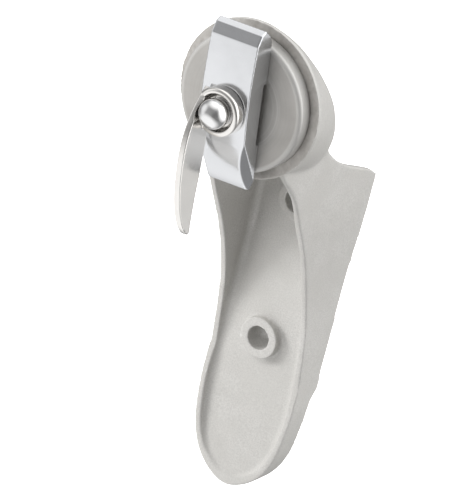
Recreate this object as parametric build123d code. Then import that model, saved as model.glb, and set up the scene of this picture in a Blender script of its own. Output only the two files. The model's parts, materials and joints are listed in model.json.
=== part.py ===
from build123d import *
import math
import os

# Wall-mounted hand opener. Millimetres.
# X points right, +Y points into the wall, +Z points up. The origin is the middle of the
# lower screw hole where it meets the wall, so the wall is the plane Y = 0.

# Bracket casting
HEAD_Z = 142.5          # height of the head's axis over the lower screw hole
SCREW_SPACING = 71.0    # distance between the two wall screws
SCREW_HOLE_R = 5.5      # clearance for an M10 screw
PILLAR_R = 9.9          # boss round each screw hole
BOSS_FACE_Y = -20.4     # seat of each screw's head
WEB_FRONT_Y = -16.7     # floor of the trough
WEB_BACK_Y = -12.2
WALL_THICKNESS = 3.3
TROUGH_FILLET_R = 3.0   # between the side walls and the trough's floor
WEB_TOP_Z = 94.5
CAVITY_END_Z = -14.0    # where the hollow behind the web stops
CHANNEL_TOP_Z = 150.0   # above the top of both side walls
# half width of the casting at each height, from under the head down to the lip
HALF_WIDTHS = [
    (150.0, 25.2), (100.0, 25.2), (80.0, 25.8), (62.0, 25.4), (45.0, 24.7), (28.0, 24.6),
    (8.0, 24.9), (-15.0, 25.3), (-33.0, 25.5), (-44.0, 24.4), (-56.0, 22.0), (-66.0, 17.2),
    (-73.3, 9.6),
]
LIP_END_Z = -76.8
# side view of the side walls: (Y, Z) of the front rim, the lip's underside and the top edge
FRONT_RIM = [
    (-84.0, 114.0), (-78.0, 107.0), (-68.0, 96.5), (-57.2, 80.0), (-44.1, 60.0), (-31.9, 36.6),
    (-24.5, 18.0), (-19.9, 0.0), (-17.1, -14.0),
]
LIP_FRONT = (-16.9, -78.0)
LIP_UNDERSIDE = [(-10.5, -78.0), (-5.2, -66.0), (-3.8, -48.0), (-3.4, -25.0)]
SKIRT_END = (0.0, -19.5)
BACK_TOP = (0.0, 92.6)
TOP_EDGE = [(-5.4, 95.8), (-25.2, 102.9), (-36.0, 108.0), (-49.0, 118.7), (-60.0, 135.0)]
SCOOP_FLOOR = [(-16.7, 8.0), (-14.3, -20.0), (-13.6, -40.0), (-14.8, -60.0), (-18.5, -80.0)]

# Head of the casting, turned about the head's axis
RIM_Y = -88.0
RIM_R = 37.5
RIM_THICKNESS = 2.4
# sections of the hood behind the rim: (Y, radius, how far its middle is below the head's axis)
HOOD_SECTIONS = [
    (-85.6, 37.1, 0.0), (-70.0, 33.6, 7.2), (-52.0, 27.2, 16.4), (-42.5, 20.0, 20.2),
    (-39.0, 9.0, 21.2),
]
HOOD_WALL = 3.8
FRONT_WALL_BACK_Y = -83.0
BOSS_R = 17.0
BOSS_FACE_DEPTH = 1.2   # the bush's flange is let into the rim face by this much
BOSS_BACK_Y = -73.0
HOOD_OPENING = (34.0, 60.0, 121.0)     # width, lowest Z and highest Z of its open underside
STOP_SLOT_HALF_ANGLE = 48.5
STOP_SLOT_CLEARANCE = 0.3

# Turning disc, which carries the bar
DISC_R = 32.6
DISC_FACE_Y = -95.6
DISC_EDGE_ROUND = 2.2
DISC_GAP = 0.3          # between the disc and the casting's rim face
JOURNAL_R = 11.0
JOURNAL_END_Y = -65.6
BUSH_WALL = 2.0
BUSH_FLANGE_R = 16.0
BUSH_FLANGE_THICKNESS = 1.45
RUNNING_CLEARANCE = 0.05
WAVE_WASHER_THICKNESS = 1.4
TAB_WASHER_THICKNESS = 0.9
JAM_NUT_FLATS = 26.0
JAM_NUT_THICKNESS = 4.4
DISC_TILT = -8.0        # the bar stands leaning this many degrees off upright
STOP_PIN_R = 2.0
STOP_PIN_CIRCLE_R = 27.0
STOP_PIN_END_Y = -84.0
BAR_SCREW_PLACES = [19.0, -29.0]
DOWEL_PLACES = [(6.5, 24.0), (-7.5, -29.5)]
BAR_SCREW_R = 2.0
BAR_SCREW_TIP_Y = -101.0
BAR_SCREW_HEAD_R = 3.6
BAR_SCREW_HEAD_HEIGHT = 2.6
DOWEL_R = 1.5

# Bar across the disc
BAR_WIDTH = 25.5
BAR_BOTTOM = -38.6
# (distance along the bar, Y) of its outer face, top to bottom
BAR_TOP_END = [(33.0, -95.6), (36.8, -97.6), (40.0, -101.7), (38.2, -104.8), (33.6, -107.3)]
BAR_FRONT_CURVE = [(33.6, -107.3), (16.0, -108.6), (-4.0, -108.7), (-16.0, -107.8)]
BAR_TAIL_CURVE = [(-16.0, -107.8), (-24.0, -105.6), (-31.5, -102.0), (-38.6, -97.0)]
# plane that bevels each side of the bar's tail: a point on its edge, and its normal
BEVEL_START = (-107.9, -13.0)
BEVEL_TILT = (0.80, -0.52, -0.30)
RELIEF_TOP = 13.0       # the can's rim passes between bar and disc here
RELIEF_BOTTOM = -16.0
RELIEF_DEPTH = 2.2

# Spindle and feed wheel
SPINDLE_R = 4.0
SPINDLE_THREAD_R = 2.5
SPINDLE_BUSH_WALL = 1.5
SPINDLE_BUSH_LENGTH = 9.0
SPINDLE_BACK_Y = -63.4
SPINDLE_FRONT_Y = -120.0
KEY_SIZE = 1.6
SQUARE = 5.6            # the lever's drive square
SQUARE_Y = (-111.2, -108.9)
CLIP_Y = (-64.9, -64.1)
CLIP_GROOVE_R = 3.2
FEED_WHEEL_R = 8.0
FEED_WHEEL_TEETH = 28
FEED_TOOTH_DEPTH = 0.6
FEED_WHEEL_Y = (-97.6, -95.9)

# Cutter wheel
CUTTER_R = 7.0
CUTTER_OFFSET = -14.2   # along the bar, below the spindle
CUTTER_Y = (-99.1, -97.8)
CUTTER_AXLE_R = 2.5
POCKET_FLOOR_Y = -100.3
CUTTER_THREAD_R = 2.0
CUTTER_SCREW_HEAD_R = 4.0
CUTTER_SCREW_HEAD_HEIGHT = 1.2
CUTTER_SCREW_TIP_Y = -105.0

# Lever and its nut
HUB_R = 11.5
HUB_BACK_Y = -109.2
HUB_FRONT_Y = -115.0
HUB_EDGE_ROUND = 1.8
CUP_R = 9.0
CUP_FLOOR_R = 7.7
CUP_FLOOR_Y = -111.4
ARM_INNER_X = -6.4
ARM_THICKNESS = 3.2
# side view of the arm: (Y, distance along the bar)
ARM_FRONT = [
    (-111.0, 9.5), (-116.5, 4.0), (-122.5, -5.0), (-125.9, -16.0), (-126.6, -28.0),
    (-125.6, -40.0), (-122.6, -50.5), (-118.6, -57.8), (-115.4, -61.0),
]
ARM_BACK = [(-112.9, -59.6), (-112.7, -52.0), (-111.6, -40.0), (-110.2, -28.0), (-109.4, -10.0)]
NUT_R = 7.1
NUT_CENTRE_Y = -116.2
NUT_SEAT_Y = -112.4


def turned(points):
    """A closed outline of (radius, Y) points turned about the Y axis."""
    return revolve(make_face(Polyline(*points, close=True)), Axis.Y, 360)


def tube(outer_r, inner_r, y_from, y_to):
    """A plain tube, washer or bush along Y."""
    return turned([(inner_r, y_from), (outer_r, y_from), (outer_r, y_to), (inner_r, y_to)])


def rod(radius, y_from, y_to, x=0.0, z=0.0):
    """A cylinder along Y between two Y values."""
    cylinder = Rot(-90, 0, 0) * Cylinder(radius, abs(y_to - y_from))
    return Pos(x, (y_from + y_to) / 2, z) * cylinder


def on_head(shape):
    """Places a shape that was made about the Y axis on the casting's head."""
    return Pos(0, 0, HEAD_Z) * shape


def on_disc(shape):
    """Places a shape that was made upright on the tilted disc."""
    return Pos(0, 0, HEAD_Z) * Rot(0, DISC_TILT, 0) * shape


def inset(points, distance):
    """Moves each point of a left-to-right outline sideways towards the outline's inside."""
    moved = []
    last = len(points) - 1
    for i, (x, z) in enumerate(points):
        before = points[max(i - 1, 0)]
        after = points[min(i + 1, last)]
        along_x = after[0] - before[0]
        along_z = after[1] - before[1]
        length = math.hypot(along_x, along_z)
        moved.append((x - along_z / length * distance, z + along_x / length * distance))
    return moved


def front_view_block(edge_inset, y_from, y_to):
    """The casting's outline as seen from the front, inset all round, as a block along Y."""
    left = [(-half, z) for z, half in HALF_WIDTHS]
    right = [(half, z) for z, half in reversed(HALF_WIDTHS)]
    outline = inset(left + [(0.0, LIP_END_Z)] + right, edge_inset)
    edge = Spline(*outline) + Line(outline[-1], outline[0])
    block = extrude(Plane.XZ * make_face(edge), amount=200, both=True)
    return block & Pos(0, (y_from + y_to) / 2, 0) * Box(120, y_to - y_from, 600)


def side_view_block(edges, half_width):
    """A closed outline of edges in the Y-Z plane, as a block along X."""
    return extrude(Plane.YZ * make_face(edges), amount=half_width, both=True)


def wall_side_view():
    """The side walls' outline: front rim, lip, skirt's back edge and the sloping top."""
    edges = Spline(*FRONT_RIM)
    edges += Line(FRONT_RIM[-1], LIP_FRONT)
    edges += Line(LIP_FRONT, LIP_UNDERSIDE[0])
    edges += Spline(*LIP_UNDERSIDE)
    edges += Line(LIP_UNDERSIDE[-1], SKIRT_END)
    edges += Line(SKIRT_END, BACK_TOP)
    edges += Line(BACK_TOP, TOP_EDGE[0])
    edges += Spline(*TOP_EDGE)
    edges += Line(TOP_EDGE[-1], FRONT_RIM[0])
    return edges


def trough_side_view():
    """Everything in front of the trough's floor, which dips in the scoop."""
    top = (WEB_FRONT_Y, CHANNEL_TOP_Z)
    edges = Line(top, SCOOP_FLOOR[0])
    edges += Spline(*SCOOP_FLOOR)
    far_low = (-160.0, SCOOP_FLOOR[-1][1])
    far_high = (-160.0, CHANNEL_TOP_Z)
    edges += Polyline(SCOOP_FLOOR[-1], far_low, far_high, top)
    return edges


def hood(wall):
    """The tapering hood behind the rim, drawn in by the wall's thickness."""
    rings = [
        Plane(origin=(0, y, -drop), z_dir=(0, 1, 0)) * Circle(radius - wall)
        for y, radius, drop in HOOD_SECTIONS
    ]
    return loft(rings)


def head_blank():
    """The rim with the hollow hood, the front wall and the boss, about the Y axis."""
    rim = rod(RIM_R, RIM_Y, RIM_Y + RIM_THICKNESS)
    hollow = hood(HOOD_WALL) & Pos(0, FRONT_WALL_BACK_Y + 50, 0) * Box(100, 100, 100)
    blank = rim + hood(0.0) - Pos(0, -HOOD_WALL * 0.4, 0) * hollow
    blank += rod(RIM_R - 2 * HOOD_WALL, RIM_Y, FRONT_WALL_BACK_Y)
    return blank + rod(BOSS_R, RIM_Y, BOSS_BACK_Y)


def head_cuts():
    """The bore for the journal's bush, its flange's seat and the slot for the stop pin."""
    bush_r = JOURNAL_R + RUNNING_CLEARANCE + BUSH_WALL
    cuts = rod(bush_r, RIM_Y - 1, BOSS_BACK_Y + 1)
    cuts += rod(BUSH_FLANGE_R + 0.2, RIM_Y - 1, RIM_Y + BOSS_FACE_DEPTH)
    half_width = STOP_PIN_R + STOP_SLOT_CLEARANCE
    inner, outer = STOP_PIN_CIRCLE_R - half_width, STOP_PIN_CIRCLE_R + half_width
    slot = tube(outer, inner, RIM_Y - 1, FRONT_WALL_BACK_Y + 1)
    reach = 2 * outer
    end_x = reach * math.tan(math.radians(STOP_SLOT_HALF_ANGLE))
    wedge = Polyline((0, 0), (end_x, reach), (-end_x, reach), close=True)
    return cuts + (slot & extrude(Plane.XZ * make_face(wedge), amount=120, both=True))


def make_bracket():
    walls = front_view_block(0.0, -120, 0.5) & side_view_block(wall_side_view(), 60)
    trough = front_view_block(WALL_THICKNESS, -160, 20)
    trough &= side_view_block(trough_side_view(), 60)
    floor_edges = trough.edges().filter_by(lambda edge: edge.center().Y > WEB_FRONT_Y - 4)
    floor_edges = floor_edges.filter_by(lambda edge: edge.length > 20)
    trough = fillet(floor_edges, TROUGH_FILLET_R)
    back_hollow = front_view_block(WALL_THICKNESS, WEB_BACK_Y, 20)
    back_hollow &= Pos(0, 0, CAVITY_END_Z + 150) * Box(100, 100, 300)
    casting = walls - trough - back_hollow
    inner_width = 2 * (HALF_WIDTHS[1][1] - WALL_THICKNESS)
    above_web = Box(inner_width, 40, CHANNEL_TOP_Z - WEB_TOP_Z)
    casting -= Pos(0, WEB_BACK_Y - 5, (CHANNEL_TOP_Z + WEB_TOP_Z) / 2) * above_web
    for z in (0.0, SCREW_SPACING):
        casting += rod(PILLAR_R, BOSS_FACE_Y, 0, z=z)
        casting -= rod(SCREW_HOLE_R, -30, 10, z=z)
    casting += on_head(head_blank())
    width, low_z, high_z = HOOD_OPENING
    opening = Box(width, 2 * abs(FRONT_WALL_BACK_Y), high_z - low_z)
    opening = Pos(0, 0, (low_z + high_z) / 2) * opening
    opening &= Pos(0, FRONT_WALL_BACK_Y + 30, HEAD_Z) * Box(60, 60, 90)
    casting -= opening
    return casting - on_head(head_cuts())


def make_journal_bush():
    bore = JOURNAL_R + RUNNING_CLEARANCE
    flange_front = RIM_Y + BOSS_FACE_DEPTH - BUSH_FLANGE_THICKNESS
    flange_back = RIM_Y + BOSS_FACE_DEPTH
    return turned([
        (bore, flange_front), (BUSH_FLANGE_R, flange_front), (BUSH_FLANGE_R, flange_back),
        (bore + BUSH_WALL, flange_back), (bore + BUSH_WALL, BOSS_BACK_Y), (bore, BOSS_BACK_Y),
    ])


def make_face_disc():
    back = RIM_Y - DISC_GAP
    bush_r = SPINDLE_R + RUNNING_CLEARANCE + SPINDLE_BUSH_WALL
    edge = DISC_R - DISC_EDGE_ROUND
    side_start = (DISC_R, DISC_FACE_Y + DISC_EDGE_ROUND)
    edges = Line((bush_r, DISC_FACE_Y), (edge, DISC_FACE_Y))
    edges += TangentArc((edge, DISC_FACE_Y), side_start, tangent=(1, 0))
    edges += Polyline(
        side_start, (DISC_R, back), (JOURNAL_R, back), (JOURNAL_R, JOURNAL_END_Y),
        (bush_r, JOURNAL_END_Y), (bush_r, DISC_FACE_Y),
    )
    disc = revolve(make_face(edges), Axis.Y, 360)
    for z in BAR_SCREW_PLACES:
        disc -= rod(BAR_SCREW_R + 0.15, DISC_FACE_Y - 1, back + 1, z=z)
        disc -= rod(BAR_SCREW_HEAD_R + 0.4, back - BAR_SCREW_HEAD_HEIGHT - 0.6, back + 1, z=z)
    for x, z in DOWEL_PLACES:
        disc -= rod(DOWEL_R, DISC_FACE_Y - 1, DISC_FACE_Y + 4, x, z)
    disc -= rod(STOP_PIN_R, back - 5, back + 1, z=STOP_PIN_CIRCLE_R)
    return on_disc(disc)


def make_cutter_bar():
    edges = Polyline(*[(y, z) for z, y in BAR_TOP_END])
    edges += Spline(*[(y, z) for z, y in BAR_FRONT_CURVE])
    edges += Spline(*[(y, z) for z, y in BAR_TAIL_CURVE])
    edges += Polyline((BAR_TAIL_CURVE[-1][1], BAR_BOTTOM), (DISC_FACE_Y, BAR_BOTTOM),
                      (DISC_FACE_Y, BAR_TOP_END[0][0]))
    bar = side_view_block(edges, BAR_WIDTH / 2)
    for side in (-1, 1):
        corner = (side * BAR_WIDTH / 2, *BEVEL_START)
        across = Plane(origin=corner, z_dir=(side * BEVEL_TILT[0], BEVEL_TILT[1], BEVEL_TILT[2]))
        bar -= across * Pos(0, 0, 25) * Box(150, 150, 50)
    relief_height = RELIEF_TOP - RELIEF_BOTTOM
    relief = Box(BAR_WIDTH + 2, 2 * RELIEF_DEPTH, relief_height)
    bar -= Pos(0, DISC_FACE_Y, (RELIEF_TOP + RELIEF_BOTTOM) / 2) * relief
    bar -= rod(CUTTER_R + 0.6, POCKET_FLOOR_Y, DISC_FACE_Y, z=CUTTER_OFFSET)
    bar -= rod(SPINDLE_R + 0.3, -120, DISC_FACE_Y)
    bar -= rod(CUTTER_THREAD_R, CUTTER_SCREW_TIP_Y, DISC_FACE_Y, z=CUTTER_OFFSET)
    for z in BAR_SCREW_PLACES:
        bar -= rod(BAR_SCREW_R, BAR_SCREW_TIP_Y, DISC_FACE_Y, z=z)
    for x, z in DOWEL_PLACES:
        bar -= rod(DOWEL_R, DISC_FACE_Y - 4, DISC_FACE_Y, x, z)
    return on_disc(bar)


def make_bar_screws():
    seat = RIM_Y - DISC_GAP - BAR_SCREW_HEAD_HEIGHT - 0.6
    screws = []
    for z in BAR_SCREW_PLACES:
        screw = rod(BAR_SCREW_R, BAR_SCREW_TIP_Y, seat)
        screw += rod(BAR_SCREW_HEAD_R, seat, seat + BAR_SCREW_HEAD_HEIGHT)
        socket = Rot(-90, 0, 0) * extrude(RegularPolygon(1.7, 6), amount=2.0)
        screw -= Pos(0, seat + BAR_SCREW_HEAD_HEIGHT - 1.7, 0) * socket
        screws.append(on_disc(Pos(0, 0, z) * screw))
    return Compound(screws)


def make_bar_dowels():
    dowel_y = (DISC_FACE_Y - 3.8, DISC_FACE_Y + 3.8)
    return Compound([on_disc(rod(DOWEL_R, *dowel_y, x, z)) for x, z in DOWEL_PLACES])


def make_stop_pin():
    return on_disc(rod(STOP_PIN_R, RIM_Y - DISC_GAP - 4.8, STOP_PIN_END_Y, z=STOP_PIN_CIRCLE_R))


def make_wave_washer():
    """Sits between the boss and the nut, and gives the disc its drag."""
    y_from = BOSS_BACK_Y + RUNNING_CLEARANCE
    washer = tube(JOURNAL_R + 4.4, JOURNAL_R + 0.2, y_from, y_from + WAVE_WASHER_THICKNESS)
    return on_head(washer)


def make_tab_washer():
    y_from = BOSS_BACK_Y + RUNNING_CLEARANCE + WAVE_WASHER_THICKNESS
    washer = tube(JOURNAL_R + 3.6, JOURNAL_R, y_from, y_from + TAB_WASHER_THICKNESS)
    return on_disc(washer)


def make_jam_nut():
    y_from = (BOSS_BACK_Y + RUNNING_CLEARANCE + WAVE_WASHER_THICKNESS + TAB_WASHER_THICKNESS)
    hexagon = RegularPolygon(JAM_NUT_FLATS / 2, 6, major_radius=False)
    nut = Rot(-90, 0, 0) * extrude(hexagon, amount=JAM_NUT_THICKNESS)
    nut = Pos(0, y_from, 0) * nut - rod(JOURNAL_R, -80, -50)
    return on_disc(nut)


def make_spindle_bush(y_from):
    bore = SPINDLE_R + RUNNING_CLEARANCE
    return on_disc(tube(bore + SPINDLE_BUSH_WALL, bore, y_from, y_from + SPINDLE_BUSH_LENGTH))


def make_spindle():
    spindle = rod(SPINDLE_R, SQUARE_Y[1], SPINDLE_BACK_Y)
    spindle += Pos(0, sum(SQUARE_Y) / 2, 0) * Box(SQUARE, SQUARE_Y[1] - SQUARE_Y[0], SQUARE)
    spindle += rod(SPINDLE_THREAD_R, SPINDLE_FRONT_Y, SQUARE_Y[0])
    spindle -= tube(SPINDLE_R + 1, CLIP_GROOVE_R, *CLIP_Y)
    spindle -= feed_key_blank()
    return on_disc(spindle)


def feed_key_blank():
    middle_y = sum(FEED_WHEEL_Y) / 2
    length = FEED_WHEEL_Y[1] - FEED_WHEEL_Y[0]
    return Pos(0, middle_y, SPINDLE_R) * Box(KEY_SIZE, length, KEY_SIZE)


def make_feed_wheel():
    """A hardened wheel with square-cut teeth that grips under the can's rim."""
    points = []
    for i in range(FEED_WHEEL_TEETH):
        for share, r in ((0, 0), (0.2, 1), (0.55, 1), (0.75, 0)):
            angle = 2 * math.pi * (i + share) / FEED_WHEEL_TEETH
            radius = FEED_WHEEL_R - FEED_TOOTH_DEPTH * (1 - r)
            points.append((radius * math.cos(angle), radius * math.sin(angle)))
    face = make_face(Polyline(*points, close=True))
    wheel = Rot(-90, 0, 0) * extrude(face, amount=FEED_WHEEL_Y[1] - FEED_WHEEL_Y[0])
    wheel = Pos(0, FEED_WHEEL_Y[0], 0) * wheel - rod(SPINDLE_R, -100, -90) - feed_key_blank()
    return on_disc(wheel)


def make_thrust_washer():
    y_from = JOURNAL_END_Y + RUNNING_CLEARANCE
    return on_disc(tube(7.0, SPINDLE_R, y_from, CLIP_Y[0]))


def make_retaining_clip():
    clip = tube(6.2, CLIP_GROOVE_R, *CLIP_Y)
    gap = Pos(0, sum(CLIP_Y) / 2, -5) * Box(2 * CLIP_GROOVE_R * 0.8, 2, 8)
    return on_disc(clip - gap)


def make_cutter_wheel():
    """A disc bevelled to a sharp edge on its outer side."""
    front, back = CUTTER_Y
    bore = CUTTER_AXLE_R + RUNNING_CLEARANCE
    wheel = turned([
        (bore, front), (CUTTER_R - 1.8, front), (CUTTER_R, back - 0.15), (CUTTER_R, back),
        (bore, back),
    ])
    return on_disc(Pos(0, 0, CUTTER_OFFSET) * wheel)


def make_cutter_screw():
    """A shoulder screw that is the cutter wheel's axle."""
    shoulder_back = CUTTER_Y[1] + RUNNING_CLEARANCE
    screw = rod(CUTTER_AXLE_R, POCKET_FLOOR_Y, shoulder_back)
    screw += rod(CUTTER_THREAD_R, CUTTER_SCREW_TIP_Y, POCKET_FLOOR_Y)
    screw += rod(CUTTER_SCREW_HEAD_R, shoulder_back, shoulder_back + CUTTER_SCREW_HEAD_HEIGHT)
    slot = Box(2 * CUTTER_SCREW_HEAD_R + 1, 1.0, 0.9)
    screw -= Pos(0, shoulder_back + CUTTER_SCREW_HEAD_HEIGHT, 0) * slot
    return on_disc(Pos(0, 0, CUTTER_OFFSET) * screw)


def make_cutter_spacer():
    spacer = tube(4.4, CUTTER_AXLE_R, POCKET_FLOOR_Y, CUTTER_Y[0] - RUNNING_CLEARANCE)
    return on_disc(Pos(0, 0, CUTTER_OFFSET) * spacer)


def make_lever():
    """A cupped hub with one arm that bows outwards and tapers to its tip."""
    round_start = (HUB_R, HUB_FRONT_Y + HUB_EDGE_ROUND)
    round_end = (HUB_R - HUB_EDGE_ROUND, HUB_FRONT_Y)
    edges = Line((0, HUB_BACK_Y), (HUB_R, HUB_BACK_Y)) + Line((HUB_R, HUB_BACK_Y), round_start)
    edges += TangentArc(round_start, round_end, tangent=(0, -1))
    edges += Polyline(round_end, (CUP_R, HUB_FRONT_Y), (CUP_FLOOR_R, CUP_FLOOR_Y),
                      (0, CUP_FLOOR_Y), (0, HUB_BACK_Y))
    hub = revolve(make_face(edges), Axis.Y, 360)
    side = Spline(*ARM_FRONT)
    side += TangentArc(ARM_FRONT[-1], ARM_BACK[0], tangent=side % 1)
    side += Spline(*ARM_BACK)
    side += Polyline(ARM_BACK[-1], (HUB_BACK_Y, 5.0), ARM_FRONT[0])
    arm = extrude(Plane.YZ * make_face(side), amount=ARM_THICKNESS)
    arm = Pos(ARM_INNER_X - ARM_THICKNESS, 0, 0) * arm
    arm -= rod(CUP_FLOOR_R, -140, CUP_FLOOR_Y)
    arm -= turned([(0, CUP_FLOOR_Y), (CUP_FLOOR_R, CUP_FLOOR_Y), (CUP_R, HUB_FRONT_Y),
                   (0, HUB_FRONT_Y)])
    lever = hub + arm
    square_hole = Box(SQUARE, 10, SQUARE)
    return on_disc(lever - Pos(0, HUB_BACK_Y, 0) * square_hole)


def make_nut_washer():
    return on_disc(tube(6.4, SPINDLE_THREAD_R, NUT_SEAT_Y, CUP_FLOOR_Y))


def make_dome_nut():
    ball = Pos(0, NUT_CENTRE_Y, 0) * Sphere(NUT_R)
    nut = ball & Pos(0, NUT_SEAT_Y - 10, 0) * Box(30, 20, 30)
    return on_disc(nut - rod(SPINDLE_THREAD_R, SPINDLE_FRONT_Y, NUT_SEAT_Y))


SPINDLE_BUSH_BACK_Y = JOURNAL_END_Y - SPINDLE_BUSH_LENGTH
PARTS = {
    "bracket_casting": make_bracket,
    "journal_bush": lambda: on_head(make_journal_bush()),
    "face_disc": make_face_disc,
    "cutter_bar": make_cutter_bar,
    "bar_screws": make_bar_screws,
    "bar_dowels": make_bar_dowels,
    "swivel_stop_pin": make_stop_pin,
    "wave_washer": make_wave_washer,
    "tab_washer": make_tab_washer,
    "jam_nut": make_jam_nut,
    "spindle_bush_front": lambda: make_spindle_bush(DISC_FACE_Y),
    "spindle_bush_rear": lambda: make_spindle_bush(SPINDLE_BUSH_BACK_Y),
    "drive_spindle": make_spindle,
    "feed_wheel": make_feed_wheel,
    "feed_wheel_key": lambda: on_disc(feed_key_blank()),
    "spindle_thrust_washer": make_thrust_washer,
    "spindle_clip": make_retaining_clip,
    "cutter_wheel": make_cutter_wheel,
    "cutter_screw": make_cutter_screw,
    "cutter_spacer": make_cutter_spacer,
    "lever_handle": make_lever,
    "nut_washer": make_nut_washer,
    "dome_nut": make_dome_nut,
}

os.makedirs("parts", exist_ok=True)
for node, make in PARTS.items():
    export_step(make(), f"parts/{node}.step")
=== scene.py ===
import json
import math

import bpy
from mathutils import Matrix, Vector
from mathutils import noise as mathutils_noise


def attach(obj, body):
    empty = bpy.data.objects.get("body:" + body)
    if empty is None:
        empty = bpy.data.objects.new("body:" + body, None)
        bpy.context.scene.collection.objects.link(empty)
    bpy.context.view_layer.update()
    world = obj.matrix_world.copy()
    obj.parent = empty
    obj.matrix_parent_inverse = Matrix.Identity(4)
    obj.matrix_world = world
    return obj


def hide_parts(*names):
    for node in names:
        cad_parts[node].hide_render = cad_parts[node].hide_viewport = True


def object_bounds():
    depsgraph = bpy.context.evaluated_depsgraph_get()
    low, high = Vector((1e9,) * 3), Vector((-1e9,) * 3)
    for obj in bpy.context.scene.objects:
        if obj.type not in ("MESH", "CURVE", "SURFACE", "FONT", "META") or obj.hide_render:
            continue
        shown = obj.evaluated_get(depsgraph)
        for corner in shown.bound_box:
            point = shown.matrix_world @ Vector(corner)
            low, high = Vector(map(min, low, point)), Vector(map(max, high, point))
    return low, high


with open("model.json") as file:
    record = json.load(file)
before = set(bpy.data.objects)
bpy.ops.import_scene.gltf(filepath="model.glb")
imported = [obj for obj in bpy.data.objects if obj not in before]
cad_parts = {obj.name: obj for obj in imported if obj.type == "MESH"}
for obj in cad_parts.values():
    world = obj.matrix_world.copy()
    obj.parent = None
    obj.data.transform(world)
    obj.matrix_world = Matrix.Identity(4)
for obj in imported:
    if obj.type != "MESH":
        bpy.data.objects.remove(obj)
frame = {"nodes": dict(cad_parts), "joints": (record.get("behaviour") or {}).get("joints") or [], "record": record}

CAD_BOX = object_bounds()

# Places taken from the frame, in metres
HEAD = Vector(frame["joints"][0]["pos_m"])

# Camera: a long lens nine metres away, in front, above and to the right
CAMERA_BACK = Vector((0.4277, -0.7930, 0.4339)).normalized()
CAMERA_UP = Vector((-0.4309, 0.2431, 0.8690)).normalized()
CAMERA_DISTANCE = 9.5
CAMERA_CLIP = (0.1, 60.0)
SENSOR_WIDTH = 36.0                     # millimetres
MIDDLE_DEPTH = 0.07                     # from the head to the object's middle, along the view
VIEW_HEIGHT = 0.225                     # what the picture's long side spans at the object
RIM_MIDDLE = Vector((0.0, -0.08775, 0.1425))
VIEW_CENTRE_RIGHT = -0.006345           # from the rim's middle to the picture's middle
VIEW_CENTRE_UP = -0.067635

# Casting
CAST_VOXEL = 0.00055
CAST_SMOOTH_STEPS = 5
CAST_KEPT_FACES = 0.35                  # share of the remeshed faces that is kept
CAST_LUMP_SIZE = 0.006                  # unevenness that the sand mould leaves
CAST_LUMP_HEIGHT = 0.0002
RIM_FACE_DEPTH = 0.0016                 # the turned front of the rim ends this far behind the axis point
RIM_FACE_NORMAL_Y = -0.97               # a face that looks this squarely forwards is turned

# Neck: the shell round the head where the side walls grow into it
NECK_SMOOTH_STEPS = 60
NECK_RADIUS = 0.047
NECK_THICKNESS = 0.022
NECK_TOP_DROP = 0.005
NECK_FRONT = 0.006
NECK_FADE = 0.010
LEAST_WEIGHT = 0.001

# Bar and lever
POLISHED_VOXEL = 0.00028
POLISHED_SMOOTH_STEPS = 14

# Lighter rings on the disc's face, and from 31.2 mm outwards a painted highlight band on the disc's rounded edge:
# (distance from the axis, how much lighter)
RING_SPAN = 0.04
RINGS_AND_EDGE_HIGHLIGHT_BANDS = [
    (0.0001, 0.05), (0.0172, 0.05), (0.0178, 0.30), (0.0184, 0.06), (0.0197, 0.06),
    (0.0201, 0.55), (0.0206, 0.08), (0.0213, 0.22), (0.0218, 0.04), (0.0300, 0.04),
    (0.0312, 0.65), (0.0399, 0.65),
]

# Floor
FLOOR_GAP = 0.02                        # the bracket hangs on a wall, this far over the floor
FLOOR_SIZE = 8.0
FLOOR_GLOW = 0.80

# The studio round the object: (direction, radiance, half width, softness), angles in degrees
STUDIO_BASE = 0.26
STUDIO_PATCHES = [
    ((-0.15, -0.55, -0.82), 0.80, 38.0, 26.0),     # white table below and in front
    ((0.85, 0.42, 0.35), 1.45, 24.0, 30.0),        # soft box on the right, behind
    ((-0.10, 0.25, 0.95), 1.00, 22.0, 34.0),       # ceiling
    ((-0.90, -0.35, 0.20), 0.65, 12.0, 22.0),      # window on the left
    ((-0.35, -0.90, 0.28), 0.05, 10.0, 14.0),      # faint glow above the table
    ((0.75, -0.62, 0.10), -0.10, 22.0, 22.0),      # darker room beside the camera
]

# Square lamps: (name, direction from the object, power)
LAMPS = [
    ("key", Vector((-0.29, -0.76, 0.58)), 8.0),
    ("side", Vector((-0.78, -0.60, 0.16)), 13.0),
    ("right", Vector((0.85, 0.35, 0.40)), 5.5),
]
LAMP_DISTANCE = 1.2
LAMP_SIDE = 0.46
LAMP_TARGET = HEAD + Vector((0.0, 0.04, -0.07))


# ---------------------------------------------------------------- material helpers

def new_material(name, color, metallic, roughness):
    """A Principled material and its node tree, ready for more nodes."""
    material = bpy.data.materials.new(name)
    material.use_nodes = True
    shader = material.node_tree.nodes["Principled BSDF"]
    shader.inputs["Base Color"].default_value = (*color, 1.0)
    shader.inputs["Metallic"].default_value = metallic
    shader.inputs["Roughness"].default_value = roughness
    return material, material.node_tree, shader


def node(tree, kind, **values):
    made = tree.nodes.new(kind)
    for key, value in values.items():
        setattr(made, key, value)
    return made


def noise(tree, scale, detail=3.0, rough=0.5, stretch=None):
    """A noise value over the object's own coordinates, in metres."""
    coords = node(tree, "ShaderNodeTexCoord")
    source = coords.outputs["Object"]
    if stretch is not None:
        mapping = node(tree, "ShaderNodeMapping")
        mapping.inputs["Scale"].default_value = stretch
        tree.links.new(source, mapping.inputs["Vector"])
        source = mapping.outputs["Vector"]
    texture = node(tree, "ShaderNodeTexNoise")
    texture.inputs["Scale"].default_value = scale
    texture.inputs["Detail"].default_value = detail
    texture.inputs["Roughness"].default_value = rough
    tree.links.new(source, texture.inputs["Vector"])
    return texture.outputs["Fac"]


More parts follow.
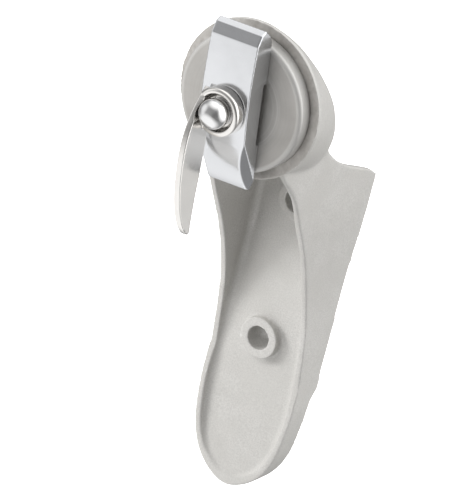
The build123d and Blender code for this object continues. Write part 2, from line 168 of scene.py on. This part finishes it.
def spread(tree, value, low, high, from_low=0.3, from_high=0.7):
    """Maps a value linearly from one range to another."""
    ranged = node(tree, "ShaderNodeMapRange")
    ranged.inputs["From Min"].default_value = from_low
    ranged.inputs["From Max"].default_value = from_high
    ranged.inputs["To Min"].default_value = low
    ranged.inputs["To Max"].default_value = high
    tree.links.new(value, ranged.inputs["Value"])
    return ranged.outputs["Result"]


def mix_colors(tree, factor, first, second):
    mixer = node(tree, "ShaderNodeMix", data_type="RGBA")
    tree.links.new(factor, mixer.inputs["Factor"])
    for socket, color in ((mixer.inputs[6], first), (mixer.inputs[7], second)):
        if isinstance(color, tuple):
            socket.default_value = (*color, 1.0)
        else:
            tree.links.new(color, socket)
    return mixer.outputs[2]


def add(tree, first, second, weight):
    """first + weight * second."""
    total = node(tree, "ShaderNodeMath", operation="MULTIPLY_ADD")
    tree.links.new(second, total.inputs[0])
    total.inputs[1].default_value = weight
    tree.links.new(first, total.inputs[2])
    return total.outputs["Value"]


def bump(tree, shader, height, strength, distance):
    bumper = node(tree, "ShaderNodeBump")
    bumper.inputs["Strength"].default_value = strength
    bumper.inputs["Distance"].default_value = distance
    tree.links.new(height, bumper.inputs["Height"])
    tree.links.new(bumper.outputs["Normal"], shader.inputs["Normal"])


def edge_wear(tree):
    """High on outer edges, from the surface's pointiness."""
    geometry = node(tree, "ShaderNodeNewGeometry")
    return spread(tree, geometry.outputs["Pointiness"], 0.0, 1.0, 0.52, 0.62)


# ---------------------------------------------------------------- materials

def cast_material():
    """Bead-blasted sand-cast aluminium: matt, warm grey, fine grain and faint stains."""
    material, tree, shader = new_material("cast_aluminium", (0.6, 0.59, 0.57), 0.35, 0.55)
    stains = spread(tree, noise(tree, 38.0, 4.0, 0.55), 0.0, 1.0, 0.38, 0.66)
    base = mix_colors(tree, stains, (0.555, 0.545, 0.520), (0.610, 0.600, 0.580))
    grain = spread(tree, noise(tree, 1500.0, 2.0, 0.6), 0.0, 1.0, 0.35, 0.65)
    speckled = mix_colors(tree, grain, (0.50, 0.49, 0.47), base)
    worn = mix_colors(tree, edge_wear(tree), speckled, (0.68, 0.675, 0.66))
    tree.links.new(worn, shader.inputs["Base Color"])
    tree.links.new(spread(tree, noise(tree, 90.0), 0.50, 0.62), shader.inputs["Roughness"])
    height = add(tree, noise(tree, 900.0, 3.0, 0.6), noise(tree, 160.0, 2.0), 0.7)
    bump(tree, shader, height, 0.35, 0.00022)
    return material


def machined_material():
    """The rim's turned face: the casting's own metal, cut bare, darker and a little glossier."""
    material, tree, shader = new_material("machined_cast", (0.36, 0.35, 0.33), 0.6, 0.42)
    mottle = spread(tree, noise(tree, 300.0, 4.0, 0.6), 0.0, 1.0, 0.35, 0.65)
    base = mix_colors(tree, mottle, (0.385, 0.368, 0.345), (0.49, 0.473, 0.45))
    tree.links.new(base, shader.inputs["Base Color"])
    tree.links.new(spread(tree, noise(tree, 700.0), 0.36, 0.52), shader.inputs["Roughness"])
    bump(tree, shader, noise(tree, 1100.0, 3.0), 0.25, 0.00015)
    return material


def turned_material():
    """Aluminium turned on a lathe: rings about the head's axis, matt and slightly dark, with a painted highlight
    band round the disc's rounded edge.
    """
    material, tree, shader = new_material("turned_aluminium", (0.42, 0.41, 0.39), 0.55, 0.46)
    coords = node(tree, "ShaderNodeTexCoord")
    shift = node(tree, "ShaderNodeMapping")
    shift.inputs["Location"].default_value = (-HEAD.x, 0.0, -HEAD.z)
    shift.inputs["Scale"].default_value = (1.0, 0.0, 1.0)
    tree.links.new(coords.outputs["Object"], shift.inputs["Vector"])
    radius = node(tree, "ShaderNodeVectorMath", operation="LENGTH")
    tree.links.new(shift.outputs["Vector"], radius.inputs[0])
    rings = node(tree, "ShaderNodeTexNoise", noise_dimensions="1D")
    rings.inputs["Scale"].default_value = 1100.0
    rings.inputs["Detail"].default_value = 2.0
    tree.links.new(radius.outputs["Value"], rings.inputs["W"])
    ramp = node(tree, "ShaderNodeValToRGB")
    for position, value in RINGS_AND_EDGE_HIGHLIGHT_BANDS:
        element = ramp.color_ramp.elements.new(position / RING_SPAN)
        element.color = (value, value, value, 1.0)
    ramp.color_ramp.elements.remove(ramp.color_ramp.elements[-1])
    ramp.color_ramp.elements.remove(ramp.color_ramp.elements[0])
    scaled = node(tree, "ShaderNodeMath", operation="MULTIPLY")
    scaled.inputs[1].default_value = 1.0 / RING_SPAN
    tree.links.new(radius.outputs["Value"], scaled.inputs[0])
    tree.links.new(scaled.outputs["Value"], ramp.inputs["Fac"])
    mottle = spread(tree, noise(tree, 60.0, 4.0), 0.0, 1.0, 0.35, 0.65)
    base = mix_colors(tree, mottle, (0.365, 0.352, 0.333), (0.425, 0.412, 0.393))
    # lighter rings, and the painted highlight on the disc's rounded edge, mixed into the base colour
    rings_and_edge_highlight = mix_colors(tree, ramp.outputs["Color"], base, (0.56, 0.555, 0.54))
    tree.links.new(rings_and_edge_highlight, shader.inputs["Base Color"])
    tree.links.new(spread(tree, rings.outputs["Fac"], 0.40, 0.55), shader.inputs["Roughness"])
    bump(tree, shader, add(tree, rings.outputs["Fac"], noise(tree, 1200.0), 0.6), 0.18, 0.0001)
    return material


def polished_material(name, color, roughness, streak_stretch, waviness):
    """Polished metal with faint polishing lines and a slightly uneven surface."""
    material, tree, shader = new_material(name, color, 1.0, roughness)
    lines = noise(tree, 420.0, 2.0, 0.5, streak_stretch)
    light = tuple(min(1.0, channel * 1.05) for channel in color)
    dark = tuple(channel * 0.93 for channel in color)
    shade = spread(tree, noise(tree, 45.0, 3.0), 0.0, 1.0, 0.35, 0.65)
    worn = mix_colors(tree, edge_wear(tree), mix_colors(tree, shade, dark, color), light)
    tree.links.new(worn, shader.inputs["Base Color"])
    rough = spread(tree, lines, roughness * 0.75, roughness * 1.35)
    tree.links.new(rough, shader.inputs["Roughness"])
    height = add(tree, noise(tree, 70.0, 1.0), lines, 0.012)
    bump(tree, shader, height, waviness, 0.0004)
    return material


def plain_metal(name, color, roughness, metallic=1.0):
    """Small machined pieces: fine machining grain and slight tarnish."""
    material, tree, shader = new_material(name, color, metallic, roughness)
    shade = spread(tree, noise(tree, 240.0, 3.0), 0.0, 1.0)
    dark = tuple(channel * 0.82 for channel in color)
    tree.links.new(mix_colors(tree, shade, dark, color), shader.inputs["Base Color"])
    fine = noise(tree, 1600.0, 2.0)
    tree.links.new(spread(tree, fine, roughness * 0.8, roughness * 1.3),
                   shader.inputs["Roughness"])
    bump(tree, shader, fine, 0.15, 0.00008)
    return material


def paint(obj, material):
    """Puts one material on every face of an object."""
    if obj.material_slots:
        for material_slot in obj.material_slots:
            material_slot.material = material
    else:
        obj.data.materials.append(material)


# ---------------------------------------------------------------- mesh helpers

def copy_of(cad_node, name):
    """A separate object with a copy of a CAD node's mesh."""
    piece = bpy.data.objects.new(name, frame["nodes"][cad_node].data.copy())
    bpy.context.scene.collection.objects.link(piece)
    return piece


def apply_modifiers(piece):
    """Replaces the piece's mesh with what its modifiers make of it."""
    graph = bpy.context.evaluated_depsgraph_get()
    made = bpy.data.meshes.new_from_object(piece.evaluated_get(graph))
    piece.modifiers.clear()
    piece.data = made


def smooth_shading(piece):
    for polygon in piece.data.polygons:
        polygon.use_smooth = True


def remeshed(piece, voxel):
    modifier = piece.modifiers.new("remesh", "REMESH")
    modifier.mode = "VOXEL"
    modifier.voxel_size = voxel
    apply_modifiers(piece)


def smoothed(piece, steps, group=None):
    modifier = piece.modifiers.new("smooth", "SMOOTH")
    modifier.factor = 0.5
    modifier.iterations = steps
    if group is not None:
        modifier.vertex_group = group
    apply_modifiers(piece)


def roughened(piece, size, height):
    """Moves each point a little inwards along its normal, by smooth noise."""
    vertices = piece.data.vertices
    normals = [vertex.normal.copy() for vertex in vertices]
    moved = []
    for vertex, normal in zip(vertices, normals):
        lump = 0.5 + 0.5 * mathutils_noise.noise(vertex.co / size)
        moved.extend(vertex.co - normal * lump * height)
    vertices.foreach_set("co", moved)
    piece.data.update()


def weight_group(piece, name, weight_of):
    """A vertex group whose weights come from a function of each vertex's place."""
    group = piece.vertex_groups.new(name=name)
    for vertex in piece.data.vertices:
        weight = weight_of(vertex.co)
        if weight > LEAST_WEIGHT:
            group.add([vertex.index], weight, "REPLACE")
    return group.name


# ---------------------------------------------------------------- casting

def neck_weight(place):
    """1 where the head grows out of the side walls, and 0 away from there."""
    away = abs((place - HEAD).length - NECK_RADIUS)
    side = max(0.0, 1.0 - away / NECK_THICKNESS)
    below = 1.0 if place.z < HEAD.z - NECK_TOP_DROP else 0.0
    behind = min(1.0, max(0.0, (place.y - HEAD.y - NECK_FRONT) / NECK_FADE))
    return side * below * behind


def is_machined(polygon):
    """True on the flat front of the rim, which is turned for the disc."""
    facing_front = polygon.normal.y < RIM_FACE_NORMAL_Y
    on_rim = polygon.center.y < HEAD.y + RIM_FACE_DEPTH
    return facing_front and on_rim


def make_casting():
    """The bracket with the soft edges and blended corners that sand casting leaves."""
    casting = copy_of("bracket_casting", "bracket_casting_cast")
    remeshed(casting, CAST_VOXEL)
    smoothed(casting, CAST_SMOOTH_STEPS)
    neck = weight_group(casting, "neck", neck_weight)
    smoothed(casting, NECK_SMOOTH_STEPS, group=neck)
    casting.vertex_groups.clear()
    roughened(casting, CAST_LUMP_SIZE, CAST_LUMP_HEIGHT)
    thin = casting.modifiers.new("thin", "DECIMATE")
    thin.ratio = CAST_KEPT_FACES
    apply_modifiers(casting)
    smooth_shading(casting)
    casting.data.materials.clear()
    casting.data.materials.append(cast_material())
    casting.data.materials.append(machined_material())
    for polygon in casting.data.polygons:
        polygon.material_index = int(is_machined(polygon))
    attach(casting, "bracket")
    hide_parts("bracket_casting")


# ---------------------------------------------------------------- turned and polished pieces

def polished_copy(cad_node, name, material, body):
    """A CAD piece with its edges and inner corners polished round."""
    piece = copy_of(cad_node, name)
    remeshed(piece, POLISHED_VOXEL)
    smoothed(piece, POLISHED_SMOOTH_STEPS)
    smooth_shading(piece)
    piece.data.materials.clear()
    piece.data.materials.append(material)
    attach(piece, body)
    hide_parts(cad_node)
    return piece


def dress_cad_nodes():
    """Procedural materials for the small CAD nodes, which are shown as they are."""
    finishes = {
        "bronze": plain_metal("bearing_bronze", (0.52, 0.36, 0.18), 0.35),
        "hard_pins": plain_metal("ground_steel", (0.55, 0.55, 0.56), 0.22),
        "hard_wheel": plain_metal("hardened_steel", (0.40, 0.40, 0.41), 0.28),
        "spring_steel": plain_metal("spring_steel", (0.33, 0.33, 0.35), 0.30),
        "nut_steel": plain_metal("plated_steel", (0.56, 0.56, 0.57), 0.25),
        "black_screws": plain_metal("black_oxide", (0.03, 0.03, 0.032), 0.35, 0.6),
    }
    for row in frame["record"]["subparts"]:
        cad_object = frame["nodes"][row["node"]]
        if row["material_slot"] in finishes:
            paint(cad_object, finishes[row["material_slot"]])


def make_pieces():
    make_casting()
    dress_cad_nodes()
    disc = frame["nodes"]["face_disc"]
    paint(disc, turned_material())
    bar_finish = polished_material("polished_bar", (0.78, 0.79, 0.81), 0.17, (1, 1, 12), 0.06)
    lever_finish = polished_material("polished_lever", (0.92, 0.90, 0.87), 0.20, (1, 1, 8), 0.05)
    nut_finish = polished_material("mirror_nut", (0.93, 0.93, 0.93), 0.20, (1, 1, 1), 0.03)
    polished_copy("cutter_bar", "cutter_bar_polished", bar_finish, "turntable")
    polished_copy("lever_handle", "lever_handle_polished", lever_finish, "spindle")
    paint(frame["nodes"]["dome_nut"], nut_finish)


# ---------------------------------------------------------------- stage, light, camera

def square_lamp(name, place, target, side, power):
    """A lamp that lights matt surfaces only, so that polished ones mirror just the studio."""
    data = bpy.data.lights.new(name, "AREA")
    data.shape = "RECTANGLE"
    data.size = side
    data.size_y = side
    data.energy = power
    light = bpy.data.objects.new(name, data)
    bpy.context.scene.collection.objects.link(light)
    light.location = place
    light.rotation_mode = "QUATERNION"
    light.rotation_quaternion = (Vector(target) - Vector(place)).to_track_quat("-Z", "Y")
    light.visible_glossy = False


def make_stage():
    """A plain pale floor under the object. It lights nothing: the studio world does that."""
    low_z = CAD_BOX[0].z - FLOOR_GAP
    half = FLOOR_SIZE / 2
    mesh = bpy.data.meshes.new("floor")
    corners = [
        (-half, -half, low_z), (half, -half, low_z), (half, half, low_z), (-half, half, low_z),
    ]
    mesh.from_pydata(corners, [], [(0, 1, 2, 3)])
    floor = bpy.data.objects.new("floor", mesh)
    bpy.context.scene.collection.objects.link(floor)
    floor.visible_diffuse = False
    floor.visible_glossy = False
    material, tree, shader = new_material("pale_floor", (0.93, 0.93, 0.93), 0.0, 0.8)
    tone = spread(tree, noise(tree, 3.0), 0.0, 1.0)
    pale = mix_colors(tree, tone, (0.92, 0.92, 0.92), (0.94, 0.94, 0.94))
    tree.links.new(pale, shader.inputs["Base Color"])
    shader.inputs["Emission Color"].default_value = (1.0, 1.0, 1.0, 1.0)
    shader.inputs["Emission Strength"].default_value = FLOOR_GLOW
    mesh.materials.append(material)


def studio_world():
    """A grey studio with soft bright patches; the camera itself sees plain white."""
    world = bpy.data.worlds.new("studio")
    bpy.context.scene.world = world
    world.use_nodes = True
    tree = world.node_tree
    background = tree.nodes["Background"]
    background.inputs["Color"].default_value = (1.0, 1.0, 1.0, 1.0)
    coords = node(tree, "ShaderNodeTexCoord")
    total = node(tree, "ShaderNodeValue")
    total.outputs["Value"].default_value = STUDIO_BASE
    total = total.outputs["Value"]
    for direction, radiance, half_width, softness in STUDIO_PATCHES:
        facing = node(tree, "ShaderNodeVectorMath", operation="DOT_PRODUCT")
        facing.inputs[1].default_value = Vector(direction).normalized()
        tree.links.new(coords.outputs["Generated"], facing.inputs[0])
        outer = math.cos(math.radians(half_width + softness))
        inner = math.cos(math.radians(half_width))
        patch = spread(tree, facing.outputs["Value"], 0.0, 1.0, outer, inner)
        total = add(tree, total, patch, radiance)
    light_path = node(tree, "ShaderNodeLightPath")
    shown = node(tree, "ShaderNodeMix", data_type="FLOAT")
    tree.links.new(light_path.outputs["Is Camera Ray"], shown.inputs["Factor"])
    tree.links.new(total, shown.inputs[2])
    shown.inputs[3].default_value = 1.0
    tree.links.new(shown.outputs[0], background.inputs["Strength"])


def make_lights():
    studio_world()
    for name, direction, power in LAMPS:
        place = LAMP_TARGET + direction * LAMP_DISTANCE
        square_lamp(name, place, LAMP_TARGET, LAMP_SIDE, power)


def set_colour_view():
    """Plain colours, with white left white."""
    view = bpy.context.scene.view_settings
    view.view_transform = "Standard"
    view.look = "None"


def make_camera():
    data = bpy.data.cameras.new("camera")
    data.sensor_width = SENSOR_WIDTH
    data.sensor_fit = "AUTO"
    data.lens = data.sensor_width * CAMERA_DISTANCE / VIEW_HEIGHT
    data.clip_start, data.clip_end = CAMERA_CLIP
    camera = bpy.data.objects.new("camera", data)
    bpy.context.scene.collection.objects.link(camera)
    right = CAMERA_UP.cross(CAMERA_BACK).normalized()
    up = CAMERA_BACK.cross(right).normalized()
    aim = RIM_MIDDLE + right * VIEW_CENTRE_RIGHT + up * VIEW_CENTRE_UP
    turn = Matrix((right, up, CAMERA_BACK)).transposed().to_4x4()
    camera.matrix_world = Matrix.Translation(aim + CAMERA_BACK * (CAMERA_DISTANCE - MIDDLE_DEPTH)) @ turn
    bpy.context.scene.camera = camera


make_camera()
set_colour_view()
make_pieces()
make_stage()
make_lights()

bpy.context.view_layer.update()
